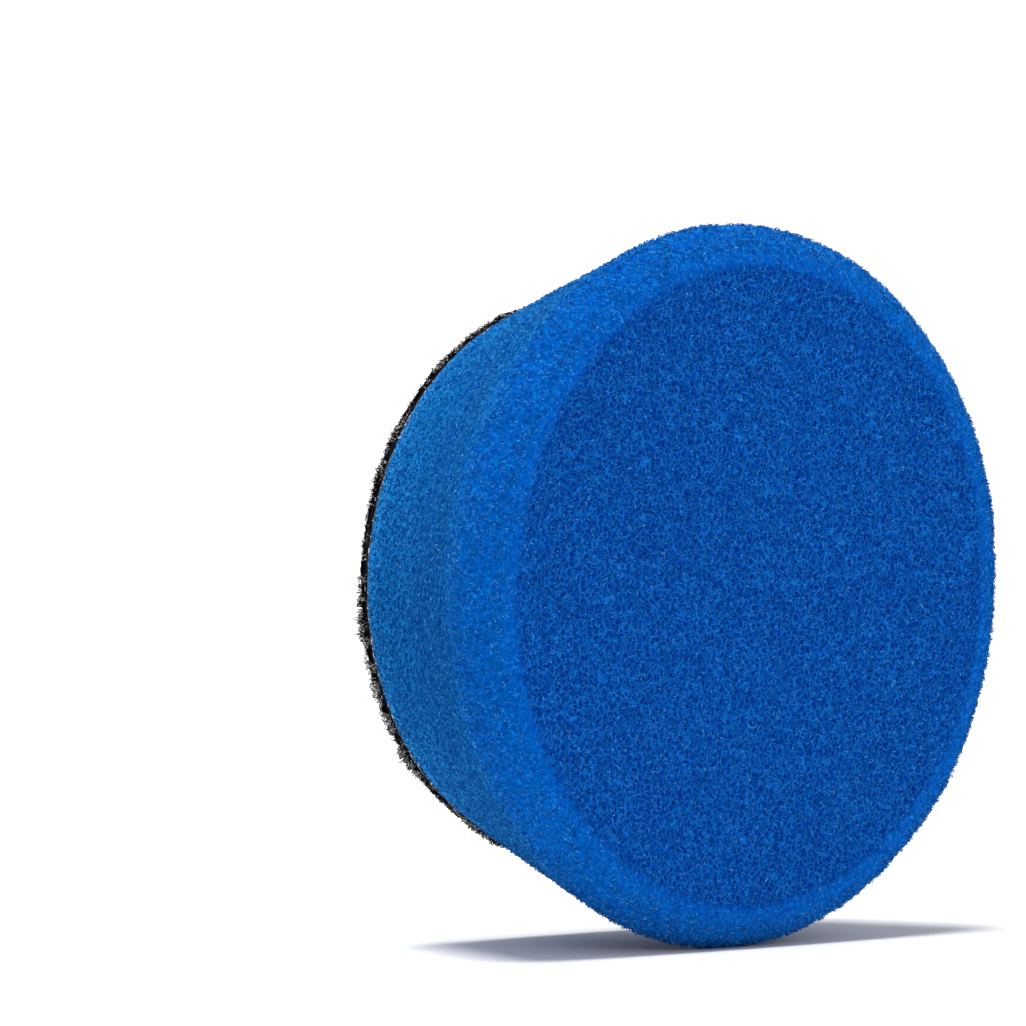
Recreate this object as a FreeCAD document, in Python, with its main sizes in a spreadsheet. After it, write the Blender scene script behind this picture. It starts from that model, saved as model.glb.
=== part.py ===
import FreeCAD, Part
import math
import os
import Sketcher

# Foam polishing pad for a small hand-held polisher, standing on its rim.
#
# Frame: millimetres, +Z up. The pad is a body of revolution about the Y axis. The origin is the centre of
# the loop backing's outer face, the face that meets the polisher's hook plate. +Y points out of that face.
# From there the layers follow each other towards -Y: loop pile, ground cloth, adhesive film, foam.
# The foam's flat working face looks towards -Y, and the rim's lowest point is one face radius below the axis.

doc = FreeCAD.newDocument("polishing_pad")


# ------------------------------------------------------------------ driving dimensions

sheet = doc.addObject("Spreadsheet::Sheet", "Dimensions")

DIMENSIONS = [
    ("face_radius", 35.0),      # widest radius of the pad, at its rim
    ("pad_depth", 27.0),        # loop face to working face
    ("rim_round", 3.85),        # rounding between the tapered wall and the working face
    ("base_radius", 26.9),      # foam at its back, the narrow end of the taper
    ("backing_radius", 27.0),   # loop fabric disc
    ("pile_depth", 0.55),       # height of the standing loops
    ("cloth_depth", 0.4),       # knitted ground that holds the loops
    ("film_depth", 0.2),        # hot-melt film between cloth and foam
    ("film_setback", 0.2),      # film edge inside the cloth edge
]

for row, (alias, value) in enumerate(DIMENSIONS, start=1):
    sheet.set("A%d" % row, alias)
    sheet.set("B%d" % row, str(value))
    sheet.setAlias("B%d" % row, alias)
doc.recompute()


# ------------------------------------------------------------------ bodies, planes and sketches

ORIGIN_POINT = -1   # a sketch's own origin
VERTICAL_AXIS = -2  # a sketch's own vertical axis
START = 1           # first end of a line or an arc
END = 2             # second end of a line or an arc
CENTRE = 3          # centre of an arc or a circle


def new_body(name):
    """One separate physical piece, named as its file will be."""
    body = doc.addObject("PartDesign::Body", name)
    body.Label = name
    body.Placement = FreeCAD.Placement()
    return body


def sketch_on(body, role):
    """A sketch on one of the body's own origin planes."""
    sketch = body.newObject("Sketcher::SketchObject", body.Name + "_outline")
    plane = [feature for feature in body.Origin.OriginFeatures if feature.Role == role][0]
    sketch.AttachmentSupport = [(plane, "")]
    sketch.MapMode = "FlatFace"
    return sketch


def bind(sketch, constraint, formula):
    """Add a dimensional constraint and drive it from the sheet."""
    index = sketch.addConstraint(constraint)
    sketch.setExpression("Constraints[%d]" % index, formula)


# ------------------------------------------------------------------ flat layers of the backing

def layer_disc(name, radius, outer_depth, thickness):
    """A disc cut from sheet stock: outer_depth behind the loop face, thickened towards the working face."""
    body = new_body(name)
    sketch = sketch_on(body, "XZ_Plane")
    centre = FreeCAD.Vector(0, 0, 0)
    circle = sketch.addGeometry(Part.Circle(centre, FreeCAD.Vector(0, 0, 1), 20.0), False)
    sketch.addConstraint(Sketcher.Constraint("Coincident", circle, CENTRE, ORIGIN_POINT, START))
    bind(sketch, Sketcher.Constraint("Radius", circle, 20.0), radius)
    sketch.setExpression("AttachmentOffset.Base.z", outer_depth)
    cut_sheet = body.newObject("PartDesign::Pad", name + "_sheet")
    cut_sheet.Profile = sketch
    cut_sheet.setExpression("Length", thickness)
    body.Tip = cut_sheet
    return body


def loop_pile():
    """The standing nylon loops, as the layer that they fill."""
    return layer_disc(
        "loop_pile",
        "Dimensions.backing_radius",
        "0 mm",
        "Dimensions.pile_depth * 1 mm",
    )


def loop_ground_cloth():
    """The knitted cloth that the loops are drawn out of."""
    return layer_disc(
        "loop_ground_cloth",
        "Dimensions.backing_radius",
        "Dimensions.pile_depth * 1 mm",
        "Dimensions.cloth_depth * 1 mm",
    )


def adhesive_film():
    """The hot-melt film that bonds the cloth to the foam."""
    return layer_disc(
        "adhesive_film",
        "Dimensions.backing_radius - Dimensions.film_setback",
        "(Dimensions.pile_depth + Dimensions.cloth_depth) * 1 mm",
        "Dimensions.film_depth * 1 mm",
    )


# ------------------------------------------------------------------ foam

def foam_corners():
    """Half-section points as (distance from the axis, place along Y): back edge, the point where the tapered
    wall touches the rim's rounding, the rounding's centre and the face's edge."""
    rim_round = sheet.get("rim_round")
    back_y = -(sheet.get("pile_depth") + sheet.get("cloth_depth") + sheet.get("film_depth"))
    back = FreeCAD.Vector(sheet.get("base_radius"), back_y, 0)
    centre = FreeCAD.Vector(sheet.get("face_radius") - rim_round, rim_round - sheet.get("pad_depth"), 0)
    face_edge = FreeCAD.Vector(centre.x, -sheet.get("pad_depth"), 0)
    reach = centre - back
    taper = math.atan2(reach.y, reach.x) + math.asin(rim_round / reach.Length)
    run = math.sqrt(reach.Length ** 2 - rim_round ** 2)
    touch = back + FreeCAD.Vector(run * math.cos(taper), run * math.sin(taper), 0)
    return back, touch, centre, face_edge


def foam_outline(body):
    """Closed half section: back face, tapered wall, rim rounding, working face and the axis."""
    sketch = sketch_on(body, "XY_Plane")
    back, touch, centre, face_edge = foam_corners()
    axis_back = FreeCAD.Vector(0, back.y, 0)
    axis_face = FreeCAD.Vector(0, face_edge.y, 0)
    rim_circle = Part.Circle(centre, FreeCAD.Vector(0, 0, 1), sheet.get("rim_round"))
    face_angle = -math.pi / 2
    touch_angle = math.atan2(touch.y - centre.y, touch.x - centre.x)

    back_face = sketch.addGeometry(Part.LineSegment(axis_back, back), False)
    wall = sketch.addGeometry(Part.LineSegment(back, touch), False)
    rim = sketch.addGeometry(Part.ArcOfCircle(rim_circle, face_angle, touch_angle), False)
    working_face = sketch.addGeometry(Part.LineSegment(face_edge, axis_face), False)
    middle = sketch.addGeometry(Part.LineSegment(axis_face, axis_back), False)

    sketch.addConstraint(Sketcher.Constraint("Coincident", back_face, END, wall, START))
    sketch.addConstraint(Sketcher.Constraint("Tangent", wall, END, rim, END))
    sketch.addConstraint(Sketcher.Constraint("Tangent", rim, START, working_face, START))
    sketch.addConstraint(Sketcher.Constraint("Coincident", working_face, END, middle, START))
    sketch.addConstraint(Sketcher.Constraint("Coincident", middle, END, back_face, START))
    sketch.addConstraint(Sketcher.Constraint("Horizontal", back_face))
    sketch.addConstraint(Sketcher.Constraint("Horizontal", working_face))
    sketch.addConstraint(Sketcher.Constraint("PointOnObject", back_face, START, VERTICAL_AXIS))
    sketch.addConstraint(Sketcher.Constraint("PointOnObject", working_face, END, VERTICAL_AXIS))

    across = [
        (wall, START, back.x, "Dimensions.base_radius"),
        (rim, CENTRE, centre.x, "Dimensions.face_radius - Dimensions.rim_round"),
    ]
    for edge, end, distance, formula in across:
        bind(sketch, Sketcher.Constraint("DistanceX", ORIGIN_POINT, START, edge, end, distance), formula)

    along = [
        (wall, START, -back.y, "Dimensions.pile_depth + Dimensions.cloth_depth + Dimensions.film_depth"),
        (working_face, END, -face_edge.y, "Dimensions.pad_depth"),
    ]
    for edge, end, distance, formula in along:
        bind(sketch, Sketcher.Constraint("DistanceY", edge, end, ORIGIN_POINT, START, distance), formula)
    bind(sketch, Sketcher.Constraint("Radius", rim, sheet.get("rim_round")), "Dimensions.rim_round")
    return sketch


def foam_pad():
    """One block of open-cell foam: a wall that widens from the backing, a rounded rim and a flat face."""
    body = new_body("foam_pad")
    sketch = foam_outline(body)
    turned = body.newObject("PartDesign::Revolution", "foam_pad_turned")
    turned.Profile = sketch
    turned.ReferenceAxis = (sketch, ["V_Axis"])
    turned.Angle = 360.0
    body.Tip = turned
    return body


# ------------------------------------------------------------------ the pad, built and written out

pieces = [loop_pile(), loop_ground_cloth(), adhesive_film(), foam_pad()]
doc.recompute()

for item in doc.Objects:
    if "Invalid" in item.State or "Error" in item.State:
        raise RuntimeError("%s did not compute: %s" % (item.Label, item.State))

os.makedirs("parts", exist_ok=True)
for piece in pieces:
    shape = piece.Shape
    if shape.isNull() or not shape.isValid() or len(shape.Solids) != 1:
        raise RuntimeError("%s is not one sound solid" % piece.Label)
    box = shape.optimalBoundingBox(False)
    print(
        "%-18s %9.1f mm3   x %.2f..%.2f   y %.2f..%.2f   z %.2f..%.2f"
        % (piece.Label, shape.Volume, box.XMin, box.XMax, box.YMin, box.YMax, box.ZMin, box.ZMax)
    )
    shape.exportStep(os.path.join("parts", piece.Label + ".step"))
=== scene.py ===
import math

import bpy
import numpy as np
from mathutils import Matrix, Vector


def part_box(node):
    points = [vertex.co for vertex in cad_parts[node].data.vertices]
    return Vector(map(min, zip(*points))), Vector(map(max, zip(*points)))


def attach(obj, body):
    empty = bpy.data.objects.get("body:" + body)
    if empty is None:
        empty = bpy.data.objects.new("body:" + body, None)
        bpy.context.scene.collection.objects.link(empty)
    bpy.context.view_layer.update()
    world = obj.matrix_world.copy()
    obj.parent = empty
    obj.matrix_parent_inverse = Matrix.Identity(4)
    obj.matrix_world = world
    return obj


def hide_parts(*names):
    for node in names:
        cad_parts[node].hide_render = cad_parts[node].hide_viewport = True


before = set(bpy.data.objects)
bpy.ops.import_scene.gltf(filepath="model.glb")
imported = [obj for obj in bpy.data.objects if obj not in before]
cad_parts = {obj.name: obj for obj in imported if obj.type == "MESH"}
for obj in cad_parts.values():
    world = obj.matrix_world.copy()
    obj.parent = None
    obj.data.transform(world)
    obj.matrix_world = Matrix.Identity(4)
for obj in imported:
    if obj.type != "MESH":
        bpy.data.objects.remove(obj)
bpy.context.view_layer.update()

MM = 0.001


# ---------------------------------------------------------------------------
# Foam pad. One block of open-cell polyurethane, dyed blue and cut to a wall
# that widens from the backing, a rounded rim and a flat working face. The
# knife opens the cells, so the skin is a net of strands round small pits.
# ---------------------------------------------------------------------------

foam_low, foam_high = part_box("foam_pad")
face_y = foam_low.y
back_y = foam_high.y
rim_radius = foam_high.x
rim_round = 3.85 * MM
base_radius = 26.9 * MM
face_cells = 270               # mesh squares across the working face
cell_size = 0.62 * MM          # one foam cell
cell_stray = 0.22 * MM         # how far a cell's walls stray from an even pattern
pit_mouth = 0.42               # share of a cell over which its pit slopes down
pit_depth = 0.21 * MM
pit_level = 0.35               # share of the pit's depth that lies above the cut shape
ragged_depth = 0.09 * MM       # rough strand ends along the cell walls
waviness = 0.10 * MM           # how uneven the cutting leaves the block
glued_band = 0.3 * MM          # beside the backing, where nothing may stand out


def hashed(ix, iy, iz, salt):
    """Three repeatable numbers from 0 to 1 for each whole-number cell: the cell's coordinates and the salt
    are each multiplied by a large factor, combined, and then mixed by multiplying and shifting."""
    factor_x = 73856093
    factor_y = 19349663
    factor_z = 83492791
    factor_salt = 2654435
    step_factor = np.uint32(1664525)
    step_sum = np.uint32(1013904223)
    mix_factor = np.uint32(2246822519)
    largest = 0xFFFFFF
    word = (ix * factor_x) ^ (iy * factor_y) ^ (iz * factor_z) ^ (salt * factor_salt)
    word = word.astype(np.uint32)
    out = []
    for step in range(3):
        word = word * step_factor + step_sum
        word ^= word >> np.uint32(16)
        word = word * mix_factor
        word ^= word >> np.uint32(13)
        out.append((word & np.uint32(largest)).astype(np.float64) / largest)
    return out


def cell_gap(points, size, salt):
    """Cellular pattern: one seed in each cube of a grid of this size. For each point, the distance to the
    second nearest seed less the distance to the nearest, over the size. 0 is on a wall between two cells."""
    scaled = points / size
    home = np.floor(scaled).astype(np.int64)
    beyond_all = 9.0
    nearest = np.full(len(points), beyond_all)
    second = np.full(len(points), beyond_all)
    for dx in (-1, 0, 1):
        for dy in (-1, 0, 1):
            for dz in (-1, 0, 1):
                ix = home[:, 0] + dx
                iy = home[:, 1] + dy
                iz = home[:, 2] + dz
                jx, jy, jz = hashed(ix, iy, iz, salt)
                seed = np.stack([ix + jx, iy + jy, iz + jz], axis=1)
                distance = np.linalg.norm(scaled - seed, axis=1)
                second = np.minimum(second, np.maximum(distance, nearest))
                nearest = np.minimum(nearest, distance)
    return second - nearest


def smooth_noise(points, size, salt):
    """Value noise from -1 to 1: a random number at each corner of a grid of this size, blended between
    corners by the curve 3t^2 - 2t^3 along each axis."""
    scaled = points / size
    home = np.floor(scaled).astype(np.int64)
    part = scaled - home
    blend = part * part * (3 - 2 * part)
    total = np.zeros(len(points))
    for dx in (0, 1):
        for dy in (0, 1):
            for dz in (0, 1):
                corner = hashed(home[:, 0] + dx, home[:, 1] + dy, home[:, 2] + dz, salt)[0]
                weight_x = blend[:, 0] if dx else 1 - blend[:, 0]
                weight_y = blend[:, 1] if dy else 1 - blend[:, 1]
                weight_z = blend[:, 2] if dz else 1 - blend[:, 2]
                total += corner * weight_x * weight_y * weight_z
    return total * 2 - 1


def new_piece(name, points, quads, triangles):
    """A mesh object at the origin from whole arrays: points (n, 3), quads (m, 4) and triangles (k, 3)."""
    mesh = bpy.data.meshes.new(name)
    corners = np.concatenate([quads.ravel(), triangles.ravel()]).astype(np.int32)
    sizes = np.concatenate([np.full(len(quads), 4), np.full(len(triangles), 3)]).astype(np.int32)
    starts = np.concatenate([[0], np.cumsum(sizes)[:-1]]).astype(np.int32)
    mesh.vertices.add(len(points))
    mesh.vertices.foreach_set("co", points.astype(np.float32).ravel())
    mesh.loops.add(len(corners))
    mesh.loops.foreach_set("vertex_index", corners)
    mesh.polygons.add(len(sizes))
    mesh.polygons.foreach_set("loop_start", starts)
    mesh.polygons.foreach_set("loop_total", sizes)
    mesh.polygons.foreach_set("use_smooth", np.full(len(sizes), True))
    mesh.update(calc_edges=True)
    mesh.validate()
    piece = bpy.data.objects.new(name, mesh)
    bpy.context.scene.collection.objects.link(piece)
    return piece


def point_attribute(piece, name, values):
    """One number on each vertex, which the material reads by name."""
    layer = piece.data.attributes.new(name, "FLOAT", "POINT")
    layer.data.foreach_set("value", values.astype(np.float32))


def evenly_spaced(line, step):
    """The line (n, 2) of (radius, y) points taken again at even distances along it, about step apart. Gives
    rows of radius, y and the unit normal on the right of the direction of travel: (dy/ds, -dr/ds)."""
    along = np.concatenate([[0], np.cumsum(np.hypot(*np.diff(line, axis=0).T))])
    even = np.linspace(0, along[-1], int(round(along[-1] / step)) + 1)
    radius = np.interp(even, along, line[:, 0])
    height = np.interp(even, along, line[:, 1])
    slope_r = np.gradient(radius, even)
    slope_y = np.gradient(height, even)
    steep = np.hypot(slope_r, slope_y)
    return np.stack([radius, height, slope_y / steep, -slope_r / steep], axis=1)


def foam_profile(step):
    """Down the side from the face's edge to the back edge: an arc of rim_round, then the straight tapered
    wall that touches it."""
    centre = np.array([rim_radius - rim_round, face_y + rim_round])
    back = np.array([base_radius, back_y])
    reach = centre - back
    taper = math.atan2(reach[1], reach[0]) + math.asin(rim_round / np.hypot(*reach))
    arc_points = 80
    turn = np.linspace(-math.pi / 2, taper + math.pi / 2, arc_points)
    rim = centre + rim_round * np.stack([np.cos(turn), np.sin(turn)], axis=1)
    return evenly_spaced(np.concatenate([rim, back[None]]), step)


def carried_round(profile, columns, start):
    """Points and normals (rows, columns, 3) of a profile (radius, y, normal_r, normal_y) carried round the
    Y axis: x = r cos(a), z = r sin(a)."""
    angle = start + np.arange(columns) * 2 * math.pi / columns
    across = np.stack([np.cos(angle), np.zeros(columns), np.sin(angle)], axis=1)
    along = np.array([0.0, 1.0, 0.0])
    points = profile[:, 0, None, None] * across + profile[:, 1, None, None] * along
    normals = profile[:, 2, None, None] * across + profile[:, 3, None, None] * along
    return points, normals


def disc_and_side(cells, profile, face_sign):
    """A flat disc whose edge runs on into a turned side, closed by a fan at the back. The disc is a square
    grid of cells squares, each square ring of it bent to a circle: radius = max(|u|, |v|), angle = the place
    along the ring's side times 45 degrees. face_sign is -1 for a disc that looks towards -Y."""
    ticks = np.linspace(-1, 1, cells + 1)
    across, up = np.meshgrid(ticks, ticks, indexing="ij")
    wide = np.abs(across) > np.abs(up)
    ring = np.where(wide, across, up)
    safe = np.where(ring == 0, 1, ring)
    turn = np.where(wide, math.pi / 4 * up / safe, math.pi / 2 - math.pi / 4 * across / safe)
    radius = ring * profile[0, 0]
    flat = np.full_like(ring, profile[0, 1])
    face = np.stack([radius * np.cos(turn), flat, radius * np.sin(turn)], axis=-1).reshape(-1, 3)
    number = np.arange((cells + 1) ** 2).reshape(cells + 1, cells + 1)
    face_quads = np.stack([number[:-1, :-1], number[1:, :-1], number[1:, 1:], number[:-1, 1:]], axis=-1)
    edge = np.concatenate([number[-1, :-1], number[:0:-1, -1], number[0, :0:-1], number[:-1, 0]])

    columns = 4 * cells
    wall, wall_normals = carried_round(profile[1:], columns, -math.pi / 4)
    wall_number = len(face) + np.arange(wall.shape[0] * columns).reshape(-1, columns)
    rings = np.concatenate([edge[None], wall_number])
    following = np.roll(rings, -1, axis=1)
    wall_quads = np.stack([rings[:-1], rings[1:], following[1:], following[:-1]], axis=-1)

    points = np.concatenate([face, wall.reshape(-1, 3), [[0, profile[-1, 1], 0]]])
    face_normals = np.tile([0.0, face_sign, 0.0], (len(face), 1))
    normals = np.concatenate([face_normals, wall_normals.reshape(-1, 3), [[0, -face_sign, 0]]])
    quads = np.concatenate([face_quads.reshape(-1, 4), wall_quads.reshape(-1, 4)])
    fan = np.stack([following[-1], rings[-1], np.full(columns, len(points) - 1)], axis=1)
    if face_sign > 0:
        quads = quads[:, ::-1]
        fan = fan[:, ::-1]
    return points, normals, quads, fan


foam_step = 2 * math.pi * (rim_radius - rim_round) / (4 * face_cells)
foam_points, foam_normals, foam_quads, foam_fan = disc_and_side(face_cells, foam_profile(foam_step), -1)
warp = np.stack([smooth_noise(foam_points, 0.9 * MM, salt) for salt in (11, 12, 13)], axis=1)
gap = cell_gap(foam_points + warp * cell_stray, cell_size, 5)
pit = np.clip(gap / pit_mouth, 0, 1)
pit = pit * pit * (3 - 2 * pit)
ragged = smooth_noise(foam_points, 0.30 * MM, 21)
unevenness = smooth_noise(foam_points, 9 * MM, 31) + 0.5 * smooth_noise(foam_points, 3.5 * MM, 32)
lift = pit_depth * (pit_level - pit) + ragged_depth * ragged + waviness * (unevenness - 0.5)
glued = foam_points[:, 1] > back_y - glued_band
middle_of_back = -1
lift[glued] = np.minimum(lift[glued], 0)
lift[middle_of_back] = 0
foam_points = foam_points + foam_normals * lift[:, None]

foam = new_piece("foam_block", foam_points, foam_quads, foam_fan)
point_attribute(foam, "pit", pit)
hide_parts("foam_pad")
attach(foam, "root")

draws = np.random.default_rng(7)
strand_count = 9800            # strands in each piece
strand_points = 4              # points along one strand
strand_gap = (0.10, 0.40)      # between a strand's feet, millimetres
strand_thickness = (0.05, 0.09)    # millimetres
strand_lean = 0.45             # how far strands lean from the normal, as a share of their height
strand_crook = 0.03 * MM       # how crooked they are
strand_root = 0.03 * MM        # how deep the feet are in the foam
clear_of_pit = 0.6             # strands stand on cell walls, so not where the pit is deeper than this share
rim_start = face_y + 0.35 * MM
rim_end = face_y + 5.2 * MM


def tubes(paths, thickness):
    """Three-sided tubes along paths (n, k, 3), one thickness each: every point gets a ring of three points at
    120 degrees round the path's direction, and the ends are closed. Gives points, quads and triangles."""
    count, steps = paths.shape[:2]
    way = np.gradient(paths, axis=1)
    way /= np.linalg.norm(way, axis=2, keepdims=True)
    any_direction = np.array([0.31, 0.17, 0.93])
    aside = np.cross(way, any_direction)
    aside /= np.linalg.norm(aside, axis=2, keepdims=True)
    third = np.cross(way, aside)
    rings = []
    for corner in range(3):
        angle = corner * 2 * math.pi / 3
        offset = aside * math.cos(angle) + third * math.sin(angle)
        rings.append(paths + offset * thickness[:, None, None] / 2)
    points = np.stack(rings, axis=2).reshape(-1, 3)
    number = np.arange(count * steps * 3).reshape(count, steps, 3)
    following = np.roll(number, -1, axis=2)
    quads = np.stack([number[:, :-1], following[:, :-1], following[:, 1:], number[:, 1:]], axis=-1)
    start = number[:, 0, ::-1]
    end = number[:, -1]
    return points, quads.reshape(-1, 4), np.concatenate([start, end])


def arched(feet, along, out, gap, height, steps, crook):
    """Arches (n, steps, 3) that leave the surface at feet, swell sideways and come back: across = -cos(pi t)
    gap / 2 swollen by 1 + 0.7 sin(pi t), out = height sin(pi t), and every point strays by about crook."""
    swell = 0.7
    t = np.linspace(0, 1, steps)[None, :, None]
    across = -np.cos(math.pi * t) * gap[:, None, None] / 2 * (1 + swell * np.sin(math.pi * t))
    rise = np.sin(math.pi * t) * height[:, None, None]
    stray = draws.normal(0, crook, (len(feet), steps, 3))
    return feet[:, None] + across * along[:, None] + rise * out[:, None] + stray


def unit(vectors):
    """Each row over its own length."""
    return vectors / np.linalg.norm(vectors, axis=1, keepdims=True)


def cut_strands(name, low_y, high_y, low_radius, tallest):
    """Ends of cell strands that the knife left standing, as low arches on the foam's own surface. The feet
    are mesh points drawn from the band between two places along Y and outside a radius."""
    radius = np.hypot(foam_points[:, 0], foam_points[:, 2])
    band = (foam_points[:, 1] > low_y) & (foam_points[:, 1] < high_y) & (radius > low_radius)
    standing = np.flatnonzero(band & (pit < clear_of_pit))
    chosen = draws.choice(standing, strand_count, replace=False)
    normal = foam_normals[chosen]
    feet = foam_points[chosen] - normal * strand_root
    out = unit(normal + draws.normal(0, strand_lean, (strand_count, 3)))
    along = unit(np.cross(out, draws.normal(0, 1, (strand_count, 3))))
    height = draws.uniform(0.3 * tallest, tallest, strand_count)
    strand_gaps = draws.uniform(*strand_gap, strand_count) * MM
    paths = arched(feet, along, out, strand_gaps, height, strand_points, strand_crook)
    points, quads, ends = tubes(paths, draws.uniform(*strand_thickness, strand_count) * MM)
    piece = new_piece(name, points, quads, ends)
    # Each strand's share of the painted glint that the strand material puts on it.
    light = draws.random(strand_count) ** 3
    point_attribute(piece, "light", np.repeat(light, strand_points * 3))
    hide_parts("foam_pad")
    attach(piece, "root")
    return piece


strand_pieces = [
    cut_strands("rim_strands", rim_start, rim_end, rim_radius - rim_round, 0.34 * MM),
    cut_strands("wall_strands", rim_end, back_y - 0.2 * MM, base_radius - 1.0 * MM, 0.24 * MM),
    cut_strands("face_strands", face_y - 1.0 * MM, rim_start, 0.0, 0.20 * MM),
]


def add_node(tree, kind, place, inputs=None, **settings):
    """One shader node at that place on the sheet, with plain properties and unlinked inputs set by name."""
    node = tree.nodes.new(kind)
    node.location = place
    for name, value in settings.items():
        setattr(node, name, value)
    for name, value in (inputs or {}).items():
        node.inputs[name].default_value = value
    return node


def new_material(name):
    """A material with an untouched Principled shader. Gives the material, its tree and the shader."""
    material = bpy.data.materials.new(name)
    material.use_nodes = True
    tree = material.node_tree
    return material, tree, tree.nodes["Principled BSDF"]


def ramp_node(tree, place, source, low, high, at_low=0.0, at_high=1.0):
    """Maps a value from low..high to at_low..at_high with soft ends."""
    ramp = add_node(
        tree,
        "ShaderNodeMapRange",
        place,
        {"From Min": low, "From Max": high, "To Min": at_low, "To Max": at_high},
        interpolation_type="SMOOTHSTEP",
    )
    tree.links.new(source, ramp.inputs["Value"])
    return ramp.outputs["Result"]


def mix_node(tree, place, weight, first, second, blend="MIX"):
    """Mixes two colours, each given as a socket or a plain colour, by a weight socket or number."""
    mix = add_node(tree, "ShaderNodeMix", place, data_type="RGBA", blend_type=blend)
    for name, value in (("Factor_Float", weight), ("A_Color", first), ("B_Color", second)):
        socket = next(item for item in mix.inputs if item.identifier == name)
        if isinstance(value, bpy.types.NodeSocket):
            tree.links.new(value, socket)
        else:
            socket.default_value = value
    return next(item for item in mix.outputs if item.identifier == "Result_Color")


def multiply_node(tree, place, first, second):
    """The product of a value socket and a second socket or number."""
    product = add_node(tree, "ShaderNodeMath", place, operation="MULTIPLY")
    tree.links.new(first, product.inputs[0])
    if isinstance(second, bpy.types.NodeSocket):
        tree.links.new(second, product.inputs[1])
    else:
        product.inputs[1].default_value = second
    return product.outputs[0]


def strand_net(tree, place, patch):
    """A net of strands that comes and goes: the walls of a cellular pattern whose place is bent by noise,
    faded by a slower patchy noise."""
    bend_scale = 1500.0
    bend_reach = 0.0008
    net_scale = 1600.0
    bend = add_node(tree, "ShaderNodeTexNoise", (-1800, -200), {"Scale": bend_scale, "Detail": 1.0})
    tree.links.new(place, bend.inputs["Vector"])
    shift = add_node(tree, "ShaderNodeVectorMath", (-1600, -200), {"Scale": bend_reach}, operation="SCALE")
    tree.links.new(bend.outputs["Color"], shift.inputs[0])
    moved = add_node(tree, "ShaderNodeVectorMath", (-1450, 0), operation="ADD")
    tree.links.new(place, moved.inputs[0])
    tree.links.new(shift.outputs[0], moved.inputs[1])
    walls = add_node(
        tree, "ShaderNodeTexVoronoi", (-1250, 100), {"Scale": net_scale}, feature="DISTANCE_TO_EDGE"
    )
    tree.links.new(moved.outputs[0], walls.inputs["Vector"])
    strand = ramp_node(tree, (-1050, 100), walls.outputs["Distance"], 0.02, 0.16, 1.0, 0.0)
    mottle = ramp_node(tree, (-1050, -100), patch, 0.30, 0.60, 0.25, 1.0)
    return strand, multiply_node(tree, (-1000, 100), strand, mottle)


def foam_zones(tree, place, patch):
    """Masks from a point's distance along and from the pad's axis. calm is 1 on the face and lower on the
    side, side is 1 beyond the face's edge, off_face is 1 behind the face's plane, ridge is 1 where the face
    turns into the rim, wall is 1 on the tapered wall and beside is 1 next to the backing."""
    link = tree.links.new
    axes = add_node(tree, "ShaderNodeSeparateXYZ", (-1250, 700))
    link(place, axes.inputs[0])
    across = add_node(tree, "ShaderNodeVectorMath", (-1250, 900), operation="MULTIPLY")
    across.inputs[1].default_value = (1, 0, 1)
    link(place, across.inputs[0])
    radius_node = add_node(tree, "ShaderNodeVectorMath", (-1050, 900), operation="LENGTH")
    link(across.outputs[0], radius_node.inputs[0])
    radius = radius_node.outputs["Value"]
    depth = axes.outputs["Y"]

    calm = ramp_node(tree, (-850, 500), radius, 30.0 * MM, 31.6 * MM, 1.0, 0.35)
    ridge = ramp_node(tree, (-850, 1300), radius, 32.9 * MM, 31.8 * MM)
    beside = ramp_node(tree, (-850, 1100), depth, -5.0 * MM, -1.6 * MM)
    off_face = ramp_node(tree, (-1050, -700), depth, face_y + 0.5 * MM, face_y + 1.6 * MM)
    past_edge = ramp_node(tree, (-850, 900), radius, 30.6 * MM, 31.6 * MM)
    side = add_node(tree, "ShaderNodeMath", (-700, 900), operation="MAXIMUM")
    link(past_edge, side.inputs[0])
    link(off_face, side.inputs[1])

    wobble_reach = 2.2 * MM
    wobble = add_node(tree, "ShaderNodeMath", (-1050, 700), operation="MULTIPLY_ADD")
    wobble.inputs[1].default_value = wobble_reach
    link(patch, wobble.inputs[0])
    link(depth, wobble.inputs[2])
    wall = ramp_node(tree, (-850, 700), wobble.outputs[0], -21.6 * MM, -17.6 * MM)
    return {
        "calm": calm,
        "side": side.outputs[0],
        "off_face": off_face,
        "ridge": ridge,
        "wall": wall,
        "beside": beside,
    }


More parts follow.
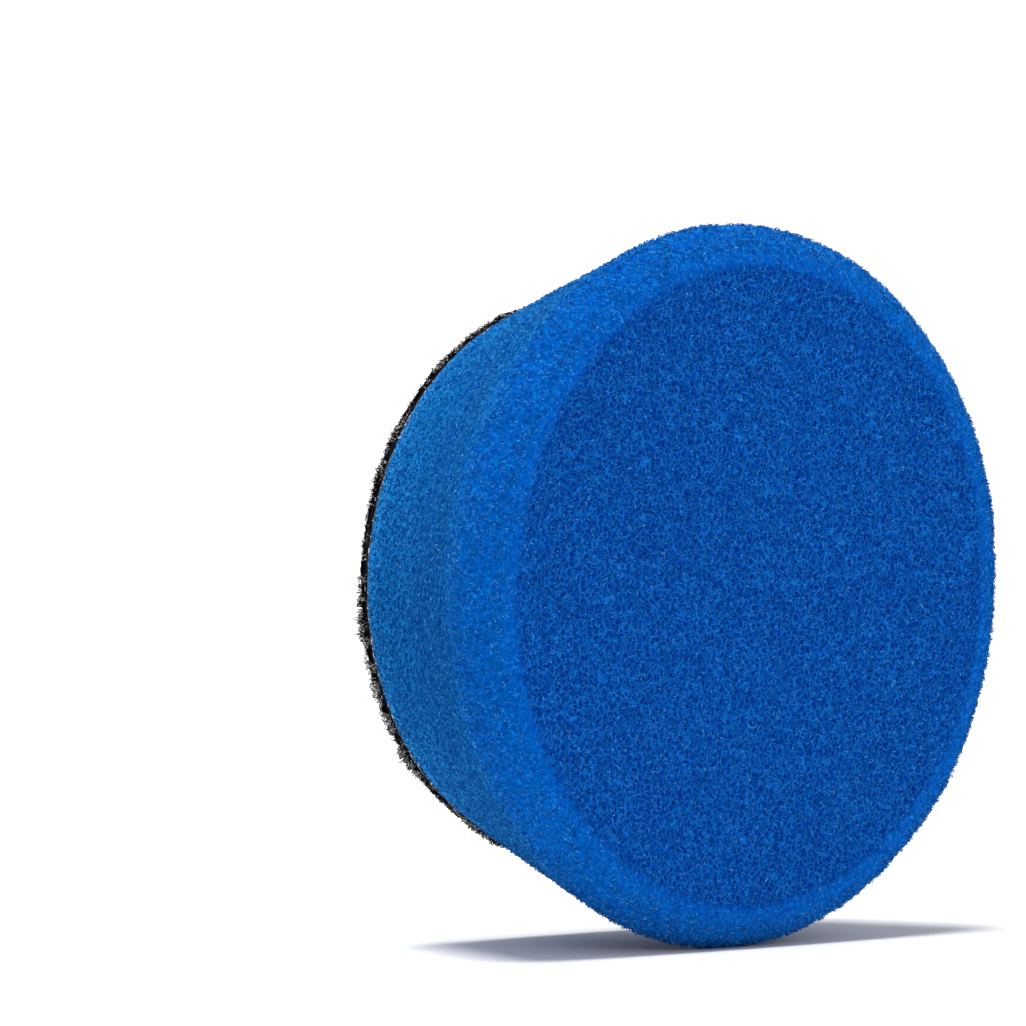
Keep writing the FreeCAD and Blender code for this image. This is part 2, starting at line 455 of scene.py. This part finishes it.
def foam_material():
    """Dyed open-cell foam with light and shade painted into its colour: painted shade makes the pits navy, a
    painted highlight makes the net of strands bright, and painted glints show as light flecks. Painted light
    makes the side lighter, the rim and the ridge most; the tapered wall is greener and duller than the rim,
    and the cut beside the backing has the most painted glints. Seen at a glancing angle the side has a
    painted sheen, lighter and with more painted glints."""
    net_blue = (0.0003, 0.048, 0.330, 1)
    # Painted shade: the colour of the pits, darker than the strand walls.
    pit_shade_navy = (0.0002, 0.024, 0.205, 1)
    # Painted highlight: the lighter blue of the strand net.
    strand_highlight_blue = (0.0030, 0.140, 0.560, 1)
    # Painted light: the side is multiplied lighter by these two, the ridge most.
    rim_light_tint = (0.35, 1.95, 1.42, 1)
    ridge_highlight_tint = (0.40, 1.88, 1.48, 1)
    wall_tint = (0.35, 0.66, 0.63, 1)
    # Painted sheen: the side is multiplied lighter where it is seen at a glancing angle.
    glancing_sheen_tint = (1.1, 1.30, 1.10, 1)
    # Painted glints: the light blue of the flecks.
    glint_blue = (0.040, 0.330, 0.780, 1)
    patch_scale = 1500.0
    grain_scale = 4200.0
    glint_level = 0.665            # grain above this is a painted glint, on the face and rim
    beside_glint_level = 0.530           # and beside the backing
    glancing_glint_drop = -0.13          # how far a glancing view lowers that level
    relief_depth = 0.14 * MM

    material, tree, shader = new_material("blue_open_cell_foam")
    link = tree.links.new
    place = add_node(tree, "ShaderNodeTexCoord", (-2000, 0)).outputs["Object"]
    patch_node = add_node(tree, "ShaderNodeTexNoise", (-1250, -100), {"Scale": patch_scale, "Detail": 3.0})
    link(place, patch_node.inputs["Vector"])
    patch = patch_node.outputs["Fac"]
    grain_node = add_node(tree, "ShaderNodeTexNoise", (-1250, -300), {"Scale": grain_scale, "Detail": 1.0})
    link(place, grain_node.inputs["Vector"])
    grain = grain_node.outputs["Fac"]
    strand, netted = strand_net(tree, place, patch)
    zones = foam_zones(tree, place, patch)

    # Painted shade: the pits are coloured darker navy, less so on the side.
    pits = add_node(tree, "ShaderNodeAttribute", (-1250, 350), attribute_name="pit").outputs["Fac"]
    dark = multiply_node(tree, (-1000, 350), pits, zones["calm"])
    net = mix_node(tree, (-800, 350), dark, net_blue, pit_shade_navy)
    # Painted highlight: the strand net is coloured lighter blue, less so on the side.
    lit = multiply_node(tree, (-800, 100), netted, zones["calm"])
    bright = mix_node(tree, (-600, 300), lit, net, strand_highlight_blue)
    # Painted light: the side, and most of all the ridge where the face turns into the rim, is multiplied
    # lighter;
    painted_rim_light = mix_node(tree, (-600, 1300), zones["ridge"], rim_light_tint, ridge_highlight_tint)
    # on the wall the wall tint then makes it duller and greener.
    rim_shade = mix_node(tree, (-400, 400), zones["side"], bright, painted_rim_light, "MULTIPLY")
    wall_shade = mix_node(tree, (-200, 400), zones["wall"], rim_shade, wall_tint, "MULTIPLY")

    # Painted sheen: where the side is seen at a glancing angle its colour is multiplied lighter.
    facing = add_node(tree, "ShaderNodeLayerWeight", (-1250, -500), {"Blend": 0.5}).outputs["Facing"]
    glancing = ramp_node(tree, (-1050, -500), facing, 0.45, 0.90)
    grazed = multiply_node(tree, (-850, -500), glancing, zones["off_face"])
    sheen_painted_colour = mix_node(tree, (-50, 500), grazed, wall_shade, glancing_sheen_tint, "MULTIPLY")

    # Painted glints: light blue flecks where the grain is over a level, lower beside the backing and at a
    # glancing view.
    often = ramp_node(tree, (-650, 1100), zones["beside"], 0.0, 1.0, glint_level, beside_glint_level)
    drop = multiply_node(tree, (-750, -600), grazed, glancing_glint_drop)
    level = add_node(tree, "ShaderNodeMath", (-650, -500), operation="ADD")
    link(often, level.inputs[0])
    link(drop, level.inputs[1])
    over = add_node(tree, "ShaderNodeMath", (-450, -300), operation="SUBTRACT")
    link(grain, over.inputs[0])
    link(level.outputs[0], over.inputs[1])
    glint = ramp_node(tree, (-250, -300), over.outputs[0], 0.0, 0.10, 0.0, 0.85)
    glinted = mix_node(tree, (100, 300), glint, sheen_painted_colour, glint_blue)
    link(glinted, shader.inputs["Base Color"])

    relief = add_node(tree, "ShaderNodeMath", (-200, -600), operation="ADD")
    link(strand, relief.inputs[0])
    link(grain, relief.inputs[1])
    bump = add_node(tree, "ShaderNodeBump", (0, -600), {"Strength": 0.8, "Distance": relief_depth})
    link(relief.outputs[0], bump.inputs["Height"])
    link(bump.outputs["Normal"], shader.inputs["Normal"])
    shader.inputs["Roughness"].default_value = 0.85
    shader.inputs["Specular IOR Level"].default_value = 0.01
    shader.inputs["Sheen Weight"].default_value = 0.28
    shader.inputs["Sheen Roughness"].default_value = 0.35
    shader.inputs["Sheen Tint"].default_value = (0.08, 0.50, 1.0, 1)
    return material


def strand_material():
    """The same dyed foam as single strands: deep blue, with a painted glint that turns a strand light blue
    by its light number.
    """
    strand_deep = (0.0008, 0.088, 0.420, 1)
    strand_glint_blue = (0.100, 0.440, 0.840, 1)
    grain_scale = 5000.0
    material, tree, shader = new_material("blue_cut_strand")
    # The light number drives a painted glint.
    light = add_node(tree, "ShaderNodeAttribute", (-600, 0), attribute_name="light").outputs["Fac"]
    place = add_node(tree, "ShaderNodeTexCoord", (-800, 200)).outputs["Object"]
    grain = add_node(tree, "ShaderNodeTexNoise", (-600, 200), {"Scale": grain_scale, "Detail": 1.0})
    tree.links.new(place, grain.inputs["Vector"])
    patchy = ramp_node(tree, (-400, 200), grain.outputs["Fac"], 0.35, 0.65, 0.4, 1.0)
    lit = multiply_node(tree, (-200, 100), light, patchy)
    colour = mix_node(tree, (0, 100), lit, strand_deep, strand_glint_blue)
    tree.links.new(colour, shader.inputs["Base Color"])
    shader.inputs["Roughness"].default_value = 0.8
    shader.inputs["Specular IOR Level"].default_value = 0.01
    return material


foam.data.materials.append(foam_material())
cut_strand = strand_material()
for strand_piece in strand_pieces:
    strand_piece.data.materials.append(cut_strand)


# ---------------------------------------------------------------------------
# Adhesive film. Hot-melt film pressed between foam and cloth. It squeezes out
# a little at the edge and sets there as a thin, uneven, milky bead.
# ---------------------------------------------------------------------------

film_low, film_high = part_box("adhesive_film")
edge_columns = 800             # mesh columns round each thin layer
bead_reach = 0.28 * MM         # how far the film squeezes out at most places
bead_start = 0.06 * MM         # where it did not squeeze out, it stays this far back


def rounded_disc(low_y, high_y, radius, columns):
    """A flat disc's skin from one axis point to the other: two flat sides joined by a half-round edge, of
    points (radius - half + half cos(a), middle + half sin(a)). Gives points, normals, quads and the fans of
    triangles that close both flat sides at the axis."""
    edge_rows = 9
    flat_rows = 12
    innermost = radius * 0.1
    half = (high_y - low_y) / 2
    middle = (high_y + low_y) / 2
    turn = np.linspace(-math.pi / 2, math.pi / 2, edge_rows)
    edge = np.stack([radius - half + half * np.cos(turn), middle + half * np.sin(turn)], axis=1)
    flat = np.linspace(innermost, radius - half, flat_rows)[:-1]
    under = np.stack([flat, np.full_like(flat, low_y)], axis=1)
    over = np.stack([flat[::-1], np.full_like(flat, high_y)], axis=1)
    line = np.concatenate([under, edge, over])
    normal_r = np.concatenate([np.zeros(len(flat)), np.cos(turn), np.zeros(len(flat))])
    normal_y = np.concatenate([-np.ones(len(flat)), np.sin(turn), np.ones(len(flat))])
    profile = np.concatenate([line, normal_r[:, None], normal_y[:, None]], axis=1)
    grid, normals = carried_round(profile, columns, 0.0)
    number = np.arange(len(line) * columns).reshape(len(line), columns)
    following = np.roll(number, -1, axis=1)
    quads = np.stack([number[:-1], following[:-1], following[1:], number[1:]], axis=-1).reshape(-1, 4)
    quads = quads[:, ::-1]
    first = len(line) * columns
    low_fan = np.stack([number[0], following[0], np.full(columns, first)], axis=1)
    high_fan = np.stack([following[-1], number[-1], np.full(columns, first + 1)], axis=1)
    points = np.concatenate([grid.reshape(-1, 3), [[0, low_y, 0], [0, high_y, 0]]])
    normals = np.concatenate([normals.reshape(-1, 3), [[0, -1, 0], [0, 1, 0]]])
    return points, normals, quads, np.concatenate([low_fan, high_fan])


film_points, film_normals, film_quads, film_fans = rounded_disc(
    film_low.y, film_high.y, film_high.x, edge_columns
)
away_from_axis = np.array([1.0, 0.0, 1.0])
slow_squeeze = smooth_noise(film_points, 1.3 * MM, 41)
fine_squeeze = smooth_noise(film_points, 0.4 * MM, 42)
squeeze = 0.5 + 0.5 * slow_squeeze + 0.3 * fine_squeeze
film_reach = squeeze * bead_reach - bead_start
film_points = film_points + film_normals * away_from_axis * film_reach[:, None]
film = new_piece("adhesive_bead", film_points, film_quads, film_fans)
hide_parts("adhesive_film")
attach(film, "root")


def fibre_grain_group():
    """Fine uneven grain for fabric and glue. Takes a place, a scale and the level above which a point is
    light, and gives a mask of the light points and a height."""
    group = bpy.data.node_groups.new("fibre_grain", "ShaderNodeTree")
    group.interface.new_socket("Place", in_out="INPUT", socket_type="NodeSocketVector")
    group.interface.new_socket("Scale", in_out="INPUT", socket_type="NodeSocketFloat")
    group.interface.new_socket("Above", in_out="INPUT", socket_type="NodeSocketFloat")
    group.interface.new_socket("Points", in_out="OUTPUT", socket_type="NodeSocketFloat")
    group.interface.new_socket("Height", in_out="OUTPUT", socket_type="NodeSocketFloat")
    given = add_node(group, "NodeGroupInput", (-800, 0))
    result = add_node(group, "NodeGroupOutput", (400, 0))
    noise = add_node(group, "ShaderNodeTexNoise", (-600, 0), {"Detail": 3.0, "Roughness": 0.6})
    group.links.new(given.outputs["Place"], noise.inputs["Vector"])
    group.links.new(given.outputs["Scale"], noise.inputs["Scale"])
    over = add_node(group, "ShaderNodeMath", (-400, 100), operation="SUBTRACT")
    group.links.new(noise.outputs["Fac"], over.inputs[0])
    group.links.new(given.outputs["Above"], over.inputs[1])
    light = ramp_node(group, (-200, 100), over.outputs[0], 0.0, 0.12)
    group.links.new(light, result.inputs["Points"])
    group.links.new(noise.outputs["Fac"], result.inputs["Height"])
    return group


fibre_grain = fibre_grain_group()


def grained_material(name, dark, light, scale, above, roughness, specular, relief_depth):
    """Two colours over the fibre grain, light where the grain is above a level, with the grain as relief."""
    material, tree, shader = new_material(name)
    place = add_node(tree, "ShaderNodeTexCoord", (-800, 0)).outputs["Object"]
    grain = add_node(tree, "ShaderNodeGroup", (-600, 0), node_tree=fibre_grain)
    grain.inputs["Scale"].default_value = scale
    grain.inputs["Above"].default_value = above
    tree.links.new(place, grain.inputs["Place"])
    colour = mix_node(tree, (-300, 100), grain.outputs["Points"], dark, light)
    tree.links.new(colour, shader.inputs["Base Color"])
    bump = add_node(tree, "ShaderNodeBump", (-200, -200), {"Strength": 0.7, "Distance": relief_depth})
    tree.links.new(grain.outputs["Height"], bump.inputs["Height"])
    tree.links.new(bump.outputs["Normal"], shader.inputs["Normal"])
    shader.inputs["Roughness"].default_value = roughness
    shader.inputs["Specular IOR Level"].default_value = specular
    return material


film.data.materials.append(
    grained_material(
        "milky_hot_melt",
        dark=(0.030, 0.060, 0.120, 1),
        light=(0.62, 0.66, 0.70, 1),
        scale=2600.0,
        above=0.52,
        roughness=0.45,
        specular=0.4,
        relief_depth=0.10 * MM,
    )
)


# ---------------------------------------------------------------------------
# Loop ground cloth. Black nylon, warp-knitted in fine ribs and die-cut to a
# disc. The loops are drawn out of it and its other side is glued to the foam.
# ---------------------------------------------------------------------------

cloth_low, cloth_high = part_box("loop_ground_cloth")
rib_pitch = 0.55 * MM
rib_depth = 0.06 * MM
die_waviness = 0.10 * MM       # how far the die-cut edge wanders
die_setback = 0.05 * MM

cloth_points, cloth_normals, cloth_quads, cloth_fans = rounded_disc(
    cloth_low.y, cloth_high.y, cloth_high.x, edge_columns
)
rib_turn = cloth_points / rib_pitch * 2 * math.pi
rib = np.sin(rib_turn[:, 0]) * np.sin(rib_turn[:, 2])
cut_edge = die_waviness * smooth_noise(cloth_points, 2.6 * MM, 51) + rib_depth * rib - die_setback
cloth_points = cloth_points + cloth_normals * away_from_axis * cut_edge[:, None]
cloth = new_piece("knitted_ground", cloth_points, cloth_quads, cloth_fans)
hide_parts("loop_ground_cloth")
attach(cloth, "root")
cloth.data.materials.append(
    grained_material(
        "black_knitted_ground",
        dark=(0.0030, 0.0030, 0.0050, 1),
        light=(0.030, 0.030, 0.034, 1),
        scale=2400.0,
        above=0.60,
        roughness=0.8,
        specular=0.15,
        relief_depth=0.12 * MM,
    )
)


# ---------------------------------------------------------------------------
# Loop pile. Black nylon loops, brushed until they lie over one another as a
# dense nap that the polisher's hooks grip. The nap is one felted surface, and
# single loops and broken ends stand out of it and out of its cut edge.
# ---------------------------------------------------------------------------

pile_low, pile_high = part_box("loop_pile")
pile_radius = pile_high.x
nap_top = pile_high.y - 0.14 * MM
nap_rounding = 0.18 * MM       # where the nap turns over its edge
nap_cells = 200                # mesh squares across the nap
nap_step = 0.12 * MM
matted_depth = 0.09 * MM       # how uneven the brushing leaves the nap
tuft_depth = 0.05 * MM


def nap_profile(step):
    """From the nap's outer face round a small rounding and straight down its edge to the cloth. The line runs
    the other way from the foam's, so its normals are turned over."""
    arc_points = 7
    turn = np.linspace(math.pi / 2, 0, arc_points)
    centre = np.array([pile_radius - nap_rounding, nap_top - nap_rounding])
    corner = centre + nap_rounding * np.stack([np.cos(turn), np.sin(turn)], axis=1)
    line = np.concatenate([corner, [[pile_radius, pile_low.y]]])
    spaced = evenly_spaced(line, step)
    spaced[:, 2:] *= -1
    return spaced


nap_points, nap_normals, nap_quads, nap_fan = disc_and_side(nap_cells, nap_profile(nap_step), 1)
matted = smooth_noise(nap_points, 0.50 * MM, 61) + 0.6 * smooth_noise(nap_points, 0.9 * MM, 62)
tuft = smooth_noise(nap_points, 2.4 * MM, 63)
nap_lift = matted_depth * matted + tuft_depth * tuft
nap_lift[middle_of_back] = 0
nap_points = nap_points + nap_normals * nap_lift[:, None]
nap = new_piece("matted_nap", nap_points, nap_quads, nap_fan)
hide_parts("loop_pile")
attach(nap, "root")
nap.data.materials.append(
    grained_material(
        "black_brushed_nap",
        dark=(0.0006, 0.0004, 0.0014, 1),
        light=(0.0050, 0.0050, 0.0085, 1),
        scale=3200.0,
        above=0.56,
        roughness=0.9,
        specular=0.02,
        relief_depth=0.16 * MM,
    )
)

loop_count = 5000              # loops in each piece
loop_points = 7                # points along one loop
loop_crook = 0.035 * MM
loop_thickness = (0.045, 0.085)    # millimetres


def face_loops():
    """Loops over the nap's face, evenly by area (radius = reach times the root of a random number), leaning
    every way."""
    foot_y = nap_top - 0.08 * MM
    reach = pile_radius - 0.2 * MM
    sideways_lean = 0.9
    radius = reach * np.sqrt(draws.random(loop_count))
    angle = draws.random(loop_count) * 2 * math.pi
    feet = np.stack([radius * np.cos(angle), np.full(loop_count, foot_y), radius * np.sin(angle)], axis=1)
    turn = draws.random(loop_count) * 2 * math.pi
    along = np.stack([np.cos(turn), np.zeros(loop_count), np.sin(turn)], axis=1)
    lean = draws.normal(0, sideways_lean, (loop_count, 3))
    lean[:, 1] = 1.0
    height = draws.uniform(0.15, 0.32, loop_count) * MM
    gap = draws.uniform(0.25, 0.6, loop_count) * MM
    return arched(feet, along, unit(lean), gap, height, loop_points, loop_crook)


def edge_loops():
    """Loops and broken ends round the cut edge. A slow noise round the edge gathers them into tufts, which
    are longer on the side that has rubbed on the ground; that side also gets more painted glints. A finer
    noise clumps the glinting ones. Gives the paths and each one's chance of a painted glint."""
    lean = 0.45
    angle = draws.random(loop_count) * 2 * math.pi
    way = np.stack([np.cos(angle), np.zeros(loop_count), np.sin(angle)], axis=1)
    rubbed_and_glinting = np.clip(0.35 - 0.9 * way[:, 2] - 0.5 * way[:, 0], 0, 1)
    tuft_noise = smooth_noise(way * pile_radius, 2.1 * MM, 71)
    tufted = np.clip(0.45 + (0.6 + 1.8 * rubbed_and_glinting) * tuft_noise, 0.15, 2.6)
    height = draws.uniform(0.10, 0.46, loop_count) * MM * tufted
    feet = way * (pile_radius - 0.1 * MM)
    feet[:, 1] = draws.uniform(cloth_low.y + 0.1 * MM, pile_high.y - 0.05 * MM, loop_count)
    out = unit(way + draws.normal(0, lean, (loop_count, 3)))
    along = unit(np.cross(out, draws.normal(0, 1, (loop_count, 3))))
    gap = draws.uniform(0.12, 0.5, loop_count) * MM
    paths = arched(feet, along, out, gap, height, loop_points, loop_crook)
    clump = smooth_noise(feet, 0.7 * MM, 72)
    # Chance of a painted glint: higher on the rubbed side and in clumps.
    glint_chance = 0.20 + 0.15 * rubbed_and_glinting + (0.35 + 1.1 * rubbed_and_glinting) * clump
    return paths, np.clip(glint_chance, 0.04, 1.0)


def loops_piece(name, paths, glint_chance):
    """One mesh of loops, with a lightness number on each loop. Glinting loops carry a painted glint and are
    drawn a little thicker than the others."""
    glint_thickening = 0.7
    # Painted glint: which loops glint, and how lightly.
    glinting = draws.random(loop_count) < glint_chance
    light = np.where(glinting, draws.uniform(0.25, 1.0, loop_count), 0.0)
    thickness = draws.uniform(*loop_thickness, loop_count) * MM * (1 + glint_thickening * light)
    points, quads, ends = tubes(paths, thickness)
    piece = new_piece(name, points, quads, ends)
    point_attribute(piece, "light", np.repeat(light, loop_points * 3))
    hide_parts("loop_pile")
    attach(piece, "root")
    return piece


def loop_material():
    """Nylon filament: black with a slight sheen, and a painted glint that makes a few filaments grey."""
    black = (0.0008, 0.0006, 0.0015, 1)
    # Painted glint: the grey that glinting filaments show.
    glint_grey = (0.72, 0.70, 0.67, 1)
    material, tree, shader = new_material("black_nylon_filament")
    light = add_node(tree, "ShaderNodeAttribute", (-600, 0), attribute_name="light").outputs["Fac"]
    place = add_node(tree, "ShaderNodeTexCoord", (-800, 200)).outputs["Object"]
    grain = add_node(tree, "ShaderNodeGroup", (-600, 200), node_tree=fibre_grain)
    grain.inputs["Scale"].default_value = 5000.0
    grain.inputs["Above"].default_value = 0.42
    tree.links.new(place, grain.inputs["Place"])
    glint_on = multiply_node(tree, (-350, 100), light, grain.outputs["Points"])
    colour = mix_node(tree, (-200, 100), glint_on, black, glint_grey)
    tree.links.new(colour, shader.inputs["Base Color"])
    shader.inputs["Roughness"].default_value = 0.6
    shader.inputs["Specular IOR Level"].default_value = 0.06
    return material


filament = loop_material()
for number in (1, 2):
    inner_loops = loops_piece("face_loops_%d" % number, face_loops(), 0.003)
    inner_loops.data.materials.append(filament)
outer_loops = loops_piece("edge_loops", *edge_loops())
outer_loops.data.materials.append(filament)


# ---------------------------------------------------------------------------
# Room: a plain white floor, a broad soft lamp in front, a wide sun overhead,
# even light all round, and the camera far off with a long lens.
# ---------------------------------------------------------------------------

scene = bpy.context.scene
floor_z = -rim_radius - 0.12 * MM
floor_reach = 8.0

floor_mesh = bpy.data.meshes.new("floor")
floor_mesh.from_pydata(
    [
        (-floor_reach, -floor_reach, floor_z),
        (floor_reach, -floor_reach, floor_z),
        (floor_reach, floor_reach, floor_z),
        (-floor_reach, floor_reach, floor_z),
    ],
    [],
    [(0, 1, 2, 3)],
)
floor = bpy.data.objects.new("floor", floor_mesh)
scene.collection.objects.link(floor)
floor_paint, _, floor_shader = new_material("white_floor")
floor_shader.inputs["Base Color"].default_value = (0.95, 0.95, 0.95, 1)
floor_shader.inputs["Roughness"].default_value = 1.0
floor_shader.inputs["Specular IOR Level"].default_value = 0.0
floor.data.materials.append(floor_paint)

azimuth = math.radians(-42.7)
elevation = math.radians(2.9)
camera_way = np.array(
    [math.sin(azimuth) * math.cos(elevation), -math.cos(azimuth) * math.cos(elevation), math.sin(elevation)]
)
right = np.array([math.cos(azimuth), math.sin(azimuth), 0.0])
up = np.cross(camera_way, right)

lamp_distance = 1.2
lamp_way = 0.25 * right + 0.1 * up + 1.0 * camera_way
lamp_way = lamp_way / np.linalg.norm(lamp_way)
lamp_data = bpy.data.lights.new("front_light", "AREA")
lamp_data.shape = "SQUARE"
lamp_data.size = 0.8
lamp_data.energy = 5.0
lamp = bpy.data.objects.new("front_light", lamp_data)
scene.collection.objects.link(lamp)
lamp.location = tuple(lamp_way * lamp_distance)
lamp.rotation_mode = "QUATERNION"
lamp.rotation_quaternion = Vector(tuple(lamp_way)).to_track_quat("Z", "Y")

sun_way = -0.10 * right + 1.0 * up + 0.15 * camera_way
sun_data = bpy.data.lights.new("top_light", "SUN")
sun_data.energy = 3.7
sun_data.angle = math.radians(26)
sun = bpy.data.objects.new("top_light", sun_data)
scene.collection.objects.link(sun)
sun.rotation_mode = "QUATERNION"
sun.rotation_quaternion = Vector(tuple(sun_way)).to_track_quat("Z", "Y")

world = bpy.data.worlds.new("studio")
scene.world = world
world.use_nodes = True
background = world.node_tree.nodes["Background"]
background.inputs["Color"].default_value = (1, 1, 1, 1)
background.inputs["Strength"].default_value = 0.44

scene.view_settings.view_transform = "Standard"
scene.view_settings.look = "None"

camera_distance = 1.5679
camera_data = bpy.data.cameras.new("camera")
camera_data.sensor_width = 36.0
camera_data.lens = 561.4
camera_data.clip_start = 0.05
camera_data.clip_end = 60.0
camera = bpy.data.objects.new("camera", camera_data)
scene.collection.objects.link(camera)
aim = -right * 4.93 * MM + up * 6.18 * MM
camera.location = tuple(aim + camera_way * camera_distance)
camera.rotation_mode = "QUATERNION"
camera.rotation_quaternion = Vector(tuple(-camera_way)).to_track_quat("-Z", "Y")
scene.camera = camera
